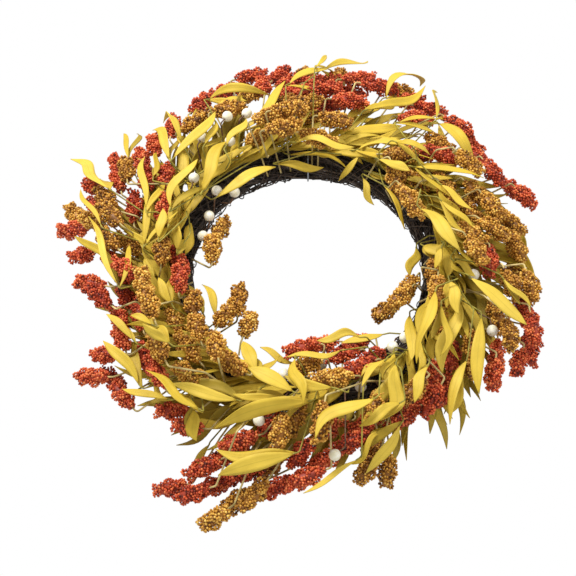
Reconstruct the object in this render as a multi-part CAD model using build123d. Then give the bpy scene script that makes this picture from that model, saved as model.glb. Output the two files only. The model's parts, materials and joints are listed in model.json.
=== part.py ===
from build123d import *
import math
import os
import numpy as np

# Harvest door wreath: a bound twig ring that carries sorghum heads, foam berries and leaf sprays on
# thin stalks, hung from a steel ring. Units are mm. +Z is up, the front faces -Y, and the origin is the
# place inside the top of the hanging ring where a hook touches it.
# A place on the wreath is given by its clock bearing in degrees (0 top, 90 right, seen from the
# front), its reach outward from the twig ring's centreline, and its depth forward of the door.

# Bound twig base
BASE_RADIUS = 150.0
BASE_STANDOFF = 40.0
STRAND_RADIUS = 7.5
STRAND_COUNT = 6
STRAND_GAP = 0.2
HOOP_WIRE_RADIUS = 2.0
HOOP_CLEARANCE = 0.05
BINDING_WIRE_RADIUS = 0.6
BINDING_TURNS = 15

# Hanging ring and the wire eye that joins it to the base
RING_MEAN_RADIUS = 17.0
RING_WIRE_RADIUS = 1.25
RING_STANDOFF = 6.0
RING_ABOVE_BASE = 20.0
EYE_CLEARANCE = 0.45
EYE_WALL = 1.6
EYE_LENGTH = 5.2
EYE_WIRE_RADIUS = 0.9
HANGER_CLEARANCE = 10.75

# Foliage arch: how far forward the foliage stands, by its reach
ARCH_CREST_OVER_BASE = 9.3
ARCH_CREST_REACH = 15.0
ARCH_OUTER_FALL = 28.0 / 100.0**2
ARCH_INNER_FALL = 30.0 / 50.0**2
ARCH_CREST_TO_INNER = 20.0
DROOP = 0.5
DOOR_CLEARANCE = 3.0
RUST_LAYER = 0
GOLD_LAYER = 6
BERRY_LAYER = 14
LEAF_LAYER = 8
LAYER_STEP = 3

# Sorghum heads
RUST_HEAD_RADIUS = 11.0
GOLD_HEAD_RADIUS = 11.5
HEAD_BUTT_SHARE = 0.38
HEAD_TIP_SHARE = 0.34
HEAD_WIDEST_SHARE = 0.45
SORGHUM_STALK_RADIUS = 1.0
SOCKET_DEPTH = 8.0

# Berries
BERRY_RADIUS = 6.2
BERRY_SOCKET_DEPTH = 4.0
BERRY_TWIG_RADIUS = 0.8
BERRY_LEAN = 60

# Leaves
LEAF_THICKNESS = 0.8
LEAF_BOW = 0.08
LEAF_LOOP_BOW = 0.34
LEAF_BUTT_WIDTH = 1.6
LEAF_TIP_WIDTH = 0.8
LEAF_WIDEST_SHARE = 0.45
LEAF_ROLL_STEP = 37
LEAF_ROLL_SPREAD = 50
PETIOLE_RADIUS = 0.8
SPRAY_STEM_RADIUS = 1.5

# Fits
SOCKET_CLEARANCE = 0.05
GLUE_GAP = 0.1
CLEARANCE = 0.35
STALK_LEAD = 7.0
STALK_BEND_RADIUS = 3.5
BEND_SHARE_OF_RUN = 0.45
STALK_KNEES = [(0, 0), (9, 0), (-9, 0), (18, 0), (-18, 0), (0, 9), (0, -9), (28, 0), (12, 12),
               (12, -12), (-12, 12), (-12, -12), (0, 20), (0, -20), (38, 0), (25, 18), (25, -18)]
GUARD_PITCH = 3.0
LEAF_GUARD_PITCH = 2.0
LEAF_GUARD_RADIUS = 1.2
WIRE_GUARD_TURN = 8
STEM_GUARD_TURN = 0.25
STEM_GUARD_MARGIN = 0.08
PUSH_SHARE_OF_HEAD = 6.5
NUDGES = [(0, 0), (2, 0), (-2, 0), (0, 6), (0, -6), (4, 0), (-4, 0), (3, 8), (-3, -8), (6, 0), (-6, 0)]
BASE_ROOTS_BACK = (8, 14, 20, 3, 26, 33, -4, 40, 48)
STEM_ROOTS_BACK = (8, 14, 4, 20, 26, 0, 32, 38, 46)
STEM_ROOT_SIDES = (90, 40, 140)
STEM_ROOT_SHARES = (0.9, 0.7, 0.5, 0.3, 0.1)

STRAND_PITCH = 2 * STRAND_RADIUS + STRAND_GAP
BUNDLE_RADIUS = STRAND_PITCH + STRAND_RADIUS
OVER_WIRES = 2 * max(BINDING_WIRE_RADIUS, EYE_WIRE_RADIUS) + 2 * GLUE_GAP
STEM_DEPTH = BASE_STANDOFF + BUNDLE_RADIUS + OVER_WIRES + SPRAY_STEM_RADIUS
ARCH_CREST_DEPTH = BASE_STANDOFF + BUNDLE_RADIUS + ARCH_CREST_OVER_BASE
ARCH_INNER_DEPTH = ARCH_CREST_DEPTH - ARCH_CREST_TO_INNER
FARTHEST_PUSH = round(PUSH_SHARE_OF_HEAD * max(RUST_HEAD_RADIUS, GOLD_HEAD_RADIUS))
HANGER_SWEEP_RADIUS = 2 * RING_MEAN_RADIUS + RING_WIRE_RADIUS + HANGER_CLEARANCE
PIVOT_HEIGHT = -(2 * RING_MEAN_RADIUS - RING_WIRE_RADIUS)
CENTRE_HEIGHT = PIVOT_HEIGHT - RING_ABOVE_BASE - BASE_RADIUS
FORWARD = np.array([0.0, -1.0, 0.0])
DOWN = np.array([0.0, 0.0, -1.0])

# Sorghum heads, one list to a pick: clock, reach, the clock bearing the tip points to, length.
RUST_PICKS = {
    "rust_sorghum_1": [
        (282, 126, 285, 50), (274, 104, 275, 36), (289, 108, 318, 32), (295, 128, 315, 34),
        (298, 98, 345, 44), (303, 120, 335, 38), (306, 90, 352, 42), (301, 64, 355, 44),
        (312, 90, 350, 40), (320, 98, 5, 38), (304, 44, 0, 38), (290, 58, 355, 46),
        (292, 22, 5, 42),
    ],
    "rust_sorghum_2": [
        (331, 112, 35, 44), (339, 122, 65, 44), (346, 134, 75, 40), (348, 106, 355, 36),
        (353, 134, 30, 44), (356, 112, 65, 48), (357, 84, 85, 50), (4, 112, 75, 44),
        (5, 88, 85, 44), (6, 62, 80, 44), (13, 126, 75, 46), (19, 116, 100, 46),
        (12, 98, 90, 44), (13, 72, 95, 44),
    ],
    "rust_sorghum_3": [
        (28, 112, 70, 40), (34, 112, 100, 42), (33, 84, 90, 44), (43, 112, 130, 44),
        (49, 106, 140, 48), (54, 94, 150, 36), (42, 40, 110, 36), (48, 55, 115, 44),
        (60, 94, 150, 40), (66, 110, 125, 34), (69, 115, 135, 32), (86, 46, 160, 36),
        (91, 46, 185, 36),
    ],
    "rust_sorghum_4": [
        (103, 90, 160, 40), (107, 102, 172, 40), (112, 110, 175, 40), (117, 103, 200, 34),
        (119, 80, 185, 38), (124, 84, 190, 36), (127, 40, 190, 38), (137, 42, 190, 40),
        (137, 62, 200, 40), (142, 56, 210, 42), (147, 53, 225, 42), (152, 57, 235, 44),
        (152, -43, 240, 38), (161, -40, 255, 38), (149, -20, 230, 36), (157, -18, 245, 38),
        (172, -56, 262, 40), (184, -52, 255, 40),
    ],
    "rust_sorghum_5": [
        (163, 50, 240, 42), (168, 62, 245, 44), (173, 48, 250, 42), (176, 78, 245, 44),
        (182, 70, 225, 38), (181, 92, 250, 46), (187, 104, 250, 46), (192, 42, 200, 36),
        (199, 69, 255, 42), (200, 88, 255, 44), (205, 104, 250, 42), (195, 97, 255, 42),
        (210, 135, 265, 38), (205, 128, 258, 40), (201, 118, 255, 40),
    ],
    "rust_sorghum_6": [
        (219, 74, 275, 40), (213, 76, 280, 34), (232, 98, 320, 36), (237, 100, 315, 38),
        (241, 114, 280, 42), (244, 94, 280, 30), (236, 56, 335, 38), (230, 54, 330, 42),
        (251, 64, 335, 36), (246, 66, 340, 38), (250, 42, 345, 38), (244, 44, 350, 38),
        (259, 54, 345, 42), (265, 92, 290, 44), (260, 78, 312, 42), (270, 62, 310, 40),
        (267, 46, 310, 38), (270, -8, 340, 42), (263, -12, 0, 42),
    ],
}
GOLD_PICKS = {
    "gold_sorghum_1": [
        (287, 135, 330, 44), (291, 94, 325, 44), (286, 78, 320, 48), (283, 56, 325, 42),
        (278, 72, 320, 42), (276, 50, 310, 40), (301, 90, 350, 36), (284, 100, 300, 36),
        (297, -40, 20, 34), (283, -42, 0, 38), (274, 8, 0, 36),
    ],
    "gold_sorghum_2": [
        (260, 26, 345, 42), (252, 22, 340, 40), (250, -20, 0, 34), (242, 10, 340, 40),
        (236, -12, 345, 38), (230, 14, 320, 40), (224, -16, 350, 38), (214, -6, 308, 42),
        (222, 32, 300, 42), (236, 36, 330, 34), (243, -65, 2, 40), (223, -56, 20, 32),
        (237, -44, 30, 32),
    ],
    "gold_sorghum_3": [
        (170, -14, 265, 46), (158, 32, 200, 34), (176, 36, 190, 44),
        (184, 34, 200, 42), (188, 50, 190, 42), (163, 76, 212, 34), (166, 92, 220, 32),
        (161, 99, 185, 34), (189, 84, 220, 40), (192, 112, 225, 42), (196, 126, 235, 42),
        (199, 140, 242, 38), (145, 36, 225, 36), (181, -34, 250, 34),
    ],
    "gold_sorghum_4": [
        (326, 82, 55, 50), (336, 74, 80, 40), (344, 100, 80, 32), (359, 134, 30, 28),
        (8, 134, 10, 36), (24, 128, 80, 32), (352, 62, 60, 44), (359, 58, 80, 44),
        (347, 40, 70, 42), (342, 18, 75, 40), (354, 40, 85, 42), (2, 38, 90, 42),
        (351, 16, 80, 42), (10, 34, 105, 40), (4, 6, 108, 46),
    ],
    "gold_sorghum_5": [
        (38, 21, 90, 42), (44, -8, 165, 46), (50, 8, 135, 42), (56, -14, 150, 48),
        (57, 30, 130, 38), (63, 26, 150, 40), (44, 68, 120, 38), (55, 70, 140, 40),
        (65, 60, 140, 38), (71, 66, 145, 38), (72, 42, 150, 38), (77, 84, 130, 40),
        (79, 58, 125, 38), (80, 30, 125, 38),
    ],
    "gold_sorghum_6": [
        (84, 80, 150, 40), (87, 30, 150, 38), (90, 82, 165, 42), (96, 92, 168, 40),
        (97, 70, 160, 38), (101, 92, 178, 38), (96, -12, 180, 40), (104, -8, 185, 36),
        (117, 10, 190, 40), (108, 64, 160, 44), (112, 78, 172, 36), (121, 50, 180, 38),
        (125, 62, 188, 38), (103, -38, 215, 36), (111, -45, 225, 36), (122, -50, 235, 34),
    ],
}

# Foam berries, one list to a pick: clock, reach.
BERRY_PICKS = {
    "berry_pick_1": [
        (334, 62), (340, 57), (323, 52), (330, 28), (309, 15), (312, -12), (319, -23),
        (300, -22), (289, -26), (287, 96),
    ],
    "berry_pick_2": [(58, 80), (96, 30), (113, 62), (131, -14), (138, -17)],
    "berry_pick_3": [(160, 10), (173, -32), (191, -17), (173, 70), (195, 42)],
}

# Leaf sprays: the clock span of the stem that is bound along the base, then its leaves as the
# clock and reach of the leaf's foot, the clock and reach of its tip, and its width.
LEAF_SPRAYS = {
    "leaf_spray_1": ((258, 300), [
        (294, 95, 301, 178, 17), (305, 105, 312, 148, 8), (290, 40, 307, 82, 10),
        (302, 55, 310, 76, 9), (276, 25, 293, 5, 10), (276, 30, 296, 47, 11),
        (276, -7, 288, 0, 14), (275, -14, 291, -10, 14), (263, 57, 280, 118, 11),
        (262, 54, 284, 98, 9), (282, 80, 292, 124, 8), (262, 18, 271, 28, 8),
        (264, 10, 277, 25, 8), (279, 12, 291, 18, 13), (286, 8, 300, 14, 12),
    ]),
    "leaf_spray_2": ((304, 342), [
        (317, 62, 320, 114, 13), (310, 55, 316, 114, 14), (311, 50, 332, 78, 14),
        (303, 30, 318, 56, 16), (293, 13, 316, 30, 14), (307, -3, 329, 30, 18),
        (310, -17, 344, -18, 16), (333, 108, 349, 80, 13), (336, 33, 354, 95, 14),
        (328, 22, 339, 46, 12), (322, 40, 330, 60, 10), (318, 5, 332, 20, 9),
        (331, 90, 342, 86, 12),
    ]),
    "leaf_spray_3": ((346, 388), [
        (4, 132, 13, 195, 13), (355, 95, 5, 136, 12), (2, 130, 4, 168, 7),
        (345, -15, 8, -20, 12), (352, -8, 20, -16, 12), (355, 0, 20, 2, 13),
        (23, -3, 17, -32, 9), (8, 8, 28, 18, 14), (22, 5, 37, 48, 15),
        (14, 18, 31, 62, 16), (13, 40, 22, 88, 15), (19, 63, 28, 138, 14),
        (22, 98, 27, 152, 16), (24, 24, 34, 42, 9),
    ]),
    "leaf_spray_4": ((32, 72), [
        (37, 100, 31, 158, 9), (30, 60, 38, 97, 8), (39, 94, 58, 76, 17),
        (34, 28, 46, 38, 10), (46, 16, 62, 70, 13), (60, 66, 80, 98, 17),
        (29, -20, 43, -40, 10), (30, -12, 42, -8, 12), (32, 0, 46, 6, 14),
        (41, -20, 66, -34, 8), (58, 24, 71, 40, 10), (70, 50, 77, 84, 13),
        (62, -12, 86, 12, 19), (60, 4, 74, 24, 10), (64, 12, 78, 32, 8),
        (72, 26, 81, 42, 8),
    ]),
    "leaf_spray_5": ((76, 118), [
        (79, 94, 92, 104, 11), (78, -26, 95, -36, 14), (79, -20, 87, -4, 17),
        (84, -6, 93, -14, 10), (84, 0, 98, 2, 16), (91, 8, 97, 30, 10),
        (86, 10, 94, 40, 9), (93, 42, 98, 76, 10), (98, 24, 108, 88, 20),
        (96, 60, 102, 92, 7), (100, 2, 113, 20, 15), (108, 20, 134, 43, 20),
        (103, 20, 118, 53, 14), (111, 45, 131, 82, 17), (126, 52, 142, 84, 15),
        (105, -12, 138, 14, 17), (118, -26, 139, 12, 15), (112, 0, 130, 26, 10),
    ]),
    "leaf_spray_6": ((122, 168), [
        (136, 24, 147, 44, 14), (144, 2, 158, 46, 20), (151, 38, 165, 46, 14),
        (158, 22, 178, 50, 20), (154, 60, 166, 92, 14), (158, 60, 171, 80, 8),
        (168, 78, 181, 104, 8), (135, -36, 159, -52, 12), (147, -50, 174, -62, 12),
        (140, -12, 152, 12, 9), (146, -10, 160, 8, 8), (130, 4, 141, 26, 9),
        (171, -2, 190, -18, 14), (161, -46, 192, -42, 9),
    ]),
    "leaf_spray_7": ((172, 212), [
        (187, -42, 182, 14, 15), (200, -8, 196, -40, 14), (187, -34, 208, -40, 10),
        (186, 2, 206, -12, 20), (180, 14, 206, 62, 20), (203, 56, 214, 86, 12),
        (198, 48, 206, 90, 9), (206, 88, 206, 128, 9), (184, 68, 201, 102, 20),
        (204, 28, 224, 50, 15), (203, -12, 218, -38, 18), (208, 20, 219, 8, 13),
        (190, 12, 206, 24, 10),
    ]),
    "leaf_spray_8": ((216, 254), [
        (213, 52, 232, 60, 14), (231, 75, 247, 84, 14), (214, 58, 209, 82, 17),
        (244, 26, 250, 42, 9), (235, 20, 245, 32, 13), (243, 55, 254, 72, 10),
        (240, -34, 261, -32, 12), (244, -24, 259, -18, 10), (250, 4, 262, 12, 12),
        (222, 64, 233, 90, 10),
    ]),
}
LOOPED_LEAVES = [(317, 62), (333, 108), (39, 94), (34, 28), (22, 98)]


def at(clock, reach, depth):
    """The point at a clock bearing, a reach from the base's centreline and a depth off the door."""
    turn = math.radians(clock)
    radius = BASE_RADIUS + reach
    return np.array([
        radius * math.sin(turn),
        RING_STANDOFF - depth,
        CENTRE_HEIGHT + radius * math.cos(turn),
    ])


def bearing_vector(bearing):
    """The direction in the wreath's plane that a clock bearing points to."""
    turn = math.radians(bearing)
    return np.array([math.sin(turn), 0.0, math.cos(turn)])


def unit(vector):
    return vector / np.linalg.norm(vector)


def arch_depth(reach):
    """Depth of the foliage arch, highest just outside the base and lower towards its edges."""
    if reach > ARCH_CREST_REACH:
        return ARCH_CREST_DEPTH - ARCH_OUTER_FALL * (reach - ARCH_CREST_REACH) ** 2
    inner = ARCH_CREST_DEPTH - ARCH_INNER_FALL * (ARCH_CREST_REACH - reach) ** 2
    return max(inner, ARCH_INNER_DEPTH)


def on_arch(clock, reach, push):
    """A point on the arch, pushed forward past its neighbours, where it hangs a little lower."""
    return at(clock, reach, arch_depth(reach)) + push * (FORWARD + DROOP * DOWN)


def arch_direction(clock, reach, bearing):
    """A direction along the arch's surface, seen from the front at a clock bearing."""
    flat = bearing_vector(bearing)
    outward = float(flat @ bearing_vector(clock))
    slope = (arch_depth(reach + 1) - arch_depth(reach - 1)) / 2
    return unit(flat + FORWARD * slope * outward)


def sample(points, pitch=GUARD_PITCH):
    """Points evenly spaced along a run of straight pieces."""
    found = [points[0]]
    for start, end in zip(points[:-1], points[1:]):
        steps = max(1, math.ceil(np.linalg.norm(end - start) / pitch))
        found += [start + (end - start) * k / steps for k in range(1, steps + 1)]
    return np.array(found)


class Space:
    """The room already taken, held as balls, so that each new piece is laid clear of the rest."""

    def __init__(self):
        self.centres = np.zeros((0, 3))
        self.radii = np.zeros(0)

    def take(self, centres, radii):
        self.centres = np.vstack([self.centres, centres])
        self.radii = np.concatenate([self.radii, np.broadcast_to(radii, len(centres))])

    def is_clear(self, centres, radii):
        """True where balls miss the door, the twig base, the hanger and every laid piece."""
        radii = np.broadcast_to(radii, len(centres))
        depth = RING_STANDOFF - centres[:, 1]
        if np.any(depth - radii < DOOR_CLEARANCE):
            return False
        across = np.hypot(centres[:, 0], centres[:, 2] - CENTRE_HEIGHT) - BASE_RADIUS
        off_base = np.hypot(across, depth - BASE_STANDOFF) - BUNDLE_RADIUS
        if np.any(off_base < radii + GLUE_GAP / 2):
            return False
        pivot = at(0, RING_ABOVE_BASE, RING_STANDOFF)
        off_pivot = np.linalg.norm(centres - pivot, axis=1)
        if np.any(off_pivot - radii < HANGER_SWEEP_RADIUS):
            return False
        margin = radii.max() + self.radii.max() + CLEARANCE
        low = centres.min(axis=0) - margin
        high = centres.max(axis=0) + margin
        near = np.all((self.centres > low) & (self.centres < high), axis=1)
        if not near.any():
            return True
        others = self.centres[near]
        gaps = np.linalg.norm(centres[:, None, :] - others[None, :, :], axis=2)
        gaps = gaps - radii[:, None] - self.radii[near][None, :]
        return bool(gaps.min() > CLEARANCE)


def frame_along(origin, axis, face=FORWARD):
    """A plane at origin whose Z runs along axis and whose Y lies as near as it can to face."""
    sideways = unit(np.cross(face, axis))
    return Plane(origin=tuple(origin), x_dir=tuple(sideways), z_dir=tuple(axis))


def tube(points, radius):
    """A round stalk along straight runs joined by arcs."""
    corners = [Vector(*p) for p in points]
    bends = []
    for before, corner, after in zip(corners[:-2], corners[1:-1], corners[2:]):
        turn = math.radians((corner - before).get_angle(after - corner))
        room = BEND_SHARE_OF_RUN * min((corner - before).length, (after - corner).length)
        bends.append(min(STALK_BEND_RADIUS, room / max(math.tan(turn / 2), 0.01)))
    path = FilletPolyline(*corners, radius=bends) if bends else Line(*corners)
    start = Plane(origin=corners[0], z_dir=(corners[1] - corners[0]).normalized())
    return sweep(start * Circle(radius), path=path)


def spindle(length, radius, socket_radius, socket_depth):
    """A closed seed head along +Z from its butt at the origin, with a socket for its stalk."""
    butt = HEAD_BUTT_SHARE * radius
    tip = HEAD_TIP_SHARE * radius
    outline = [
        Line((socket_radius, 0), (butt, 0)),
        ThreePointArc((butt, 0), (radius, HEAD_WIDEST_SHARE * length), (tip, length)),
        Line((tip, length), (0, length)),
        Line((0, length), (0, socket_depth)),
        Line((0, socket_depth), (socket_radius, socket_depth)),
        Line((socket_radius, socket_depth), (socket_radius, 0)),
    ]
    return revolve(Plane.XZ * make_face(outline), Axis.Z)


def spindle_radius(share, radius):
    """The head's radius at a share of its length, for the balls that stand for it."""
    if share < HEAD_WIDEST_SHARE:
        end, away = HEAD_BUTT_SHARE, (HEAD_WIDEST_SHARE - share) / HEAD_WIDEST_SHARE
    else:
        end, away = HEAD_TIP_SHARE, (share - HEAD_WIDEST_SHARE) / (1 - HEAD_WIDEST_SHARE)
    return radius * (1 - (1 - end) * away**2)


def berry(radius, socket_radius, socket_depth):
    """A round foam berry whose stalk end is at the origin, with a socket for its twig."""
    start = radius - math.sqrt(radius**2 - socket_radius**2)
    outline = [
        ThreePointArc((socket_radius, start), (radius, radius), (0, 2 * radius)),
        Line((0, 2 * radius), (0, socket_depth)),
        Line((0, socket_depth), (socket_radius, socket_depth)),
        Line((socket_radius, socket_depth), (socket_radius, start)),
    ]
    return revolve(Plane.XZ * make_face(outline), Axis.Z)


def leaf_blade(length, width, bow):
    """A thin pointed blade along +X from its foot at the origin, bowed towards +Z."""
    rise = bow * length
    belly = ThreePointArc((0, 0), (length / 2, rise), (length, 0))
    back = ThreePointArc((0, -LEAF_THICKNESS), (length / 2, rise - LEAF_THICKNESS),
                         (length, -LEAF_THICKNESS))
    ends = [Line((0, 0), (0, -LEAF_THICKNESS)), Line((length, 0), (length, -LEAF_THICKNESS))]
    strip = extrude(Plane.XZ * make_face([belly, back] + ends), width, both=True)
    widest = LEAF_WIDEST_SHARE * length
    outline = [
        ThreePointArc((0, LEAF_BUTT_WIDTH / 2), (widest, width / 2), (length, LEAF_TIP_WIDTH / 2)),
        Line((length, LEAF_TIP_WIDTH / 2), (length, -LEAF_TIP_WIDTH / 2)),
        ThreePointArc((length, -LEAF_TIP_WIDTH / 2), (widest, -width / 2),
                      (0, -LEAF_BUTT_WIDTH / 2)),
        Line((0, -LEAF_BUTT_WIDTH / 2), (0, LEAF_BUTT_WIDTH / 2)),
    ]
    return strip & extrude(make_face(outline), rise + 2 * LEAF_THICKNESS, both=True)


def leaf_balls(foot, along, side, face, length, width, bow):
    """Balls that stand for a bowed leaf blade."""
    found = []
    steps = math.ceil(length / LEAF_GUARD_PITCH)
    for k in range(steps + 1):
        share = k / steps
        rise = 4 * bow * length * share * (1 - share)
        half = max(width / 2 * 4 * share * (1 - share), LEAF_BUTT_WIDTH / 2)
        spine = foot + along * share * length + face * (rise - LEAF_THICKNESS / 2)
        rows = max(1, math.ceil(half / LEAF_GUARD_PITCH))
        found += [spine + side * half * j / rows for j in range(-rows, rows + 1)]
    return np.array(found)


def base_roots(clock, reach):
    """Places on the twig base where a stalk can start, nearest first, behind the piece it holds."""
    sides = (30, 90, -30, 150) if reach > 0 else (150, 90, 210, 30)
    for back in BASE_ROOTS_BACK:
        for side in sides:
            yield clock - back, side


def base_root_point(clock, side, radius):
    """The middle of a stalk's foot, just clear of the strand that lies at that side."""
    away = BUNDLE_RADIUS + GLUE_GAP + radius
    turn = math.radians(side)
    return at(clock, away * math.cos(turn), BASE_STANDOFF + away * math.sin(turn))


def stem_roots(span):
    """Places along a spray's stem where a petiole can start, nearest first."""
    def roots(clock, reach):
        for back in STEM_ROOTS_BACK:
            for side in STEM_ROOT_SIDES:
                root = clock - back
                while root < span[0] - 180:
                    root += 360
                if span[0] < root < span[1] or span[0] < root + 360 < span[1]:
                    yield root, side
        for share in STEM_ROOT_SHARES:
            for side in STEM_ROOT_SIDES:
                yield span[0] + share * (span[1] - span[0]), side
    return roots


def stem_root_point(clock, side, radius):
    """The middle of a petiole's foot, just clear of the spray's stem."""
    away = SPRAY_STEM_RADIUS + GLUE_GAP + radius
    turn = math.radians(side)
    return at(clock, away * math.cos(turn), STEM_DEPTH + away * math.sin(turn))


def stalk_route(space, roots, root_point, clock, reach, foot, axis, depth, radius, own):
    """The first clear route from a root to a foot, then along the axis to a depth past it."""
    lead = foot - axis * STALK_LEAD
    end = foot + axis * depth
    for root_clock, side in roots(clock, reach):
        root = root_point(root_clock, side, radius)
        middle = (root + lead) / 2
        outward = bearing_vector(clock)
        for lift, shift in STALK_KNEES:
            knee = middle + lift * FORWARD + shift * outward
            route = [root, knee, lead, end] if lift or shift else [root, lead, end]
            balls = sample(route[:-1] + [foot - axis * radius])
            if not space.is_clear(balls, radius):
                continue
            far = balls[:-3]
            if len(far) and len(own[0]):
                gaps = np.linalg.norm(far[:, None, :] - own[0][None, :, :], axis=2)
                if (gaps - own[1][None, :]).min() < radius + CLEARANCE:
                    continue
            return route
    return None


def places(clock, reach, first_push):
    """Where to try a piece: its own place and layer first, then forward and back, then aside."""
    steps = [0]
    for step in range(LAYER_STEP, FARTHEST_PUSH, LAYER_STEP):
        steps += [step, -step]
    for turn, shift in NUDGES:
        for step in steps:
            yield clock + turn, reach + shift, first_push + step


def lay_head(space, entry, radius, first_push):
    """Lays one seed head and its stalk; returns the head's butt, its axis and the stalk's route."""
    bearing, length = entry[2:]
    steps = math.ceil(length / GUARD_PITCH)
    shares = np.arange(steps + 1) / steps
    radii = np.array([spindle_radius(s, radius) for s in shares])
    for clock, reach, push in places(*entry[:2], first_push):
        axis = arch_direction(clock, reach, bearing)
        butt = on_arch(clock, reach, push) - axis * length / 2
        balls = butt + axis * (shares * length)[:, None]
        if not space.is_clear(balls, radii):
            continue
        route = stalk_route(
            space, base_roots, base_root_point, clock, reach, butt, axis,
            SOCKET_DEPTH - GLUE_GAP, SORGHUM_STALK_RADIUS, (balls, radii),
        )
        if route:
            space.take(balls, radii)
            space.take(sample(route[:-1] + [butt]), SORGHUM_STALK_RADIUS)
            return butt, axis, route
    raise ValueError(f"no room for the head at {entry}")


def lay_berry(space, entry, first_push):
    """Lays one berry and its twig; returns the berry's stalk end, its axis and the twig's route."""
    for clock, reach, push in places(*entry, first_push):
        axis = arch_direction(clock, reach, clock + BERRY_LEAN)
        centre = on_arch(clock, reach, push)
        ball = (centre[None, :], np.array([BERRY_RADIUS]))
        if not space.is_clear(*ball):
            continue
        butt = centre - axis * BERRY_RADIUS
        route = stalk_route(
            space, base_roots, base_root_point, clock, reach, butt, axis,
            BERRY_SOCKET_DEPTH - GLUE_GAP, BERRY_TWIG_RADIUS, ball,
        )
        if route:
            space.take(*ball)
            space.take(sample(route[:-1] + [butt]), BERRY_TWIG_RADIUS)
            return butt, axis, route
    raise ValueError(f"no room for the berry at {entry}")


def lay_leaf(space, entry, span, roll, first_push):
    """Lays one leaf and its petiole; returns the foot's plane, the leaf's sizes and the route."""
    tip_clock, tip_reach, width = entry[2:]
    bow = LEAF_LOOP_BOW if entry[:2] in LOOPED_LEAVES else LEAF_BOW
    for clock, reach, push in places(*entry[:2], first_push):
        foot = on_arch(clock, reach, push)
        tip = on_arch(tip_clock + clock - entry[0], tip_reach + reach - entry[1], push)
        length = float(np.linalg.norm(tip - foot))
        along = unit(tip - foot)
        flat = unit(FORWARD - along * float(FORWARD @ along))
        side = np.cross(flat, along)
        turn = math.radians(roll)
        face = flat * math.cos(turn) + side * math.sin(turn)
        side = np.cross(face, along)
        balls = leaf_balls(foot, along, side, face, length, width, bow)
        if not space.is_clear(balls, LEAF_GUARD_RADIUS):
            continue
        route = stalk_route(
            space, stem_roots(span), stem_root_point, clock, reach,
            foot - face * LEAF_THICKNESS / 2, along, -GLUE_GAP, PETIOLE_RADIUS,
            (balls, np.full(len(balls), LEAF_GUARD_RADIUS)),
        )
        if route:
            space.take(balls, LEAF_GUARD_RADIUS)
            space.take(sample(route), PETIOLE_RADIUS)
            place = Plane(origin=tuple(foot), x_dir=tuple(along), z_dir=tuple(face))
            return place, (length, width, bow), route
    raise ValueError(f"no room for the leaf at {entry}")


def ring_arc(centre_reach, depth, radius, start=0.0, end=360.0):
    """A round bar bent round the wreath's centre between two clock bearings."""
    middle = at(start, centre_reach, depth)
    section = Plane(origin=tuple(middle), x_dir=tuple(FORWARD), z_dir=tuple(bearing_vector(start + 90)))
    axis = Axis((0, RING_STANDOFF - depth, CENTRE_HEIGHT), (0, 1, 0))
    return revolve(section * Circle(radius), axis, end - start)


def core_hoop():
    """The steel hoop inside the base."""
    return ring_arc(0, BASE_STANDOFF, HOOP_WIRE_RADIUS)


def core_wrap():
    """The fine twigs wound on the steel hoop."""
    outer = ring_arc(0, BASE_STANDOFF, STRAND_RADIUS)
    return outer - ring_arc(0, BASE_STANDOFF, HOOP_WIRE_RADIUS + HOOP_CLEARANCE)


def twig_strand(index):
    """One of the twig bundles that lie round the core."""
    turn = math.radians(30 + 360 * index / STRAND_COUNT)
    depth = BASE_STANDOFF + STRAND_PITCH * math.sin(turn)
    return ring_arc(STRAND_PITCH * math.cos(turn), depth, STRAND_RADIUS)


def binding_clocks():
    return [360 * (k + 0.5) / BINDING_TURNS for k in range(BINDING_TURNS)]


def binding_turn(clock):
    """One turn of the wire that binds the twig bundles together."""
    radius = BUNDLE_RADIUS + GLUE_GAP + BINDING_WIRE_RADIUS
    place = Plane(origin=tuple(at(clock, 0, BASE_STANDOFF)), x_dir=tuple(FORWARD),
                  z_dir=tuple(bearing_vector(clock + 90)))
    return place * Torus(radius, BINDING_WIRE_RADIUS)


def circle_points(clock, radius):
    """Points round the base's section at a clock bearing."""
    turns = [math.radians(a) for a in range(0, 360, WIRE_GUARD_TURN)]
    return np.array([
        at(clock, radius * math.cos(t), BASE_STANDOFF + radius * math.sin(t)) for t in turns
    ])


def hanging_ring():
    """The steel ring, whose top rests on a hook at the origin."""
    centre = (0, 0, RING_WIRE_RADIUS - RING_MEAN_RADIUS)
    return Plane(origin=centre, z_dir=(0, 1, 0)) * Torus(RING_MEAN_RADIUS, RING_WIRE_RADIUS)


def hanger_eye():
    """The wire eye: a sleeve round the hanging ring, its twisted leg, and its loop on the base."""
    pivot = at(0, RING_ABOVE_BASE, RING_STANDOFF)
    centre = at(0, 0, BASE_STANDOFF)
    inward = unit(centre - pivot)
    loop_radius = BUNDLE_RADIUS + GLUE_GAP + EYE_WIRE_RADIUS
    leg_length = float(np.linalg.norm(centre - pivot)) - loop_radius
    bore_radius = RING_WIRE_RADIUS + EYE_CLEARANCE
    across = Plane(origin=tuple(pivot), z_dir=(1, 0, 0))
    leg_plane = Plane(origin=tuple(pivot), x_dir=(1, 0, 0), z_dir=tuple(inward))
    leg = leg_plane * Cylinder(EYE_WALL, leg_length, align=(Align.CENTER, Align.CENTER, Align.MIN))
    loop = Plane(origin=tuple(centre), z_dir=(1, 0, 0)) * Torus(loop_radius, EYE_WIRE_RADIUS)
    base = Plane(origin=tuple(centre), z_dir=(1, 0, 0)) * Cylinder(
        BUNDLE_RADIUS + GLUE_GAP, 4 * EYE_WALL)
    sleeve = across * Cylinder(bore_radius + EYE_WALL, EYE_LENGTH)
    bore = across * Cylinder(bore_radius, 2 * EYE_LENGTH)
    return (sleeve + leg - bore - base) + loop


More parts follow.
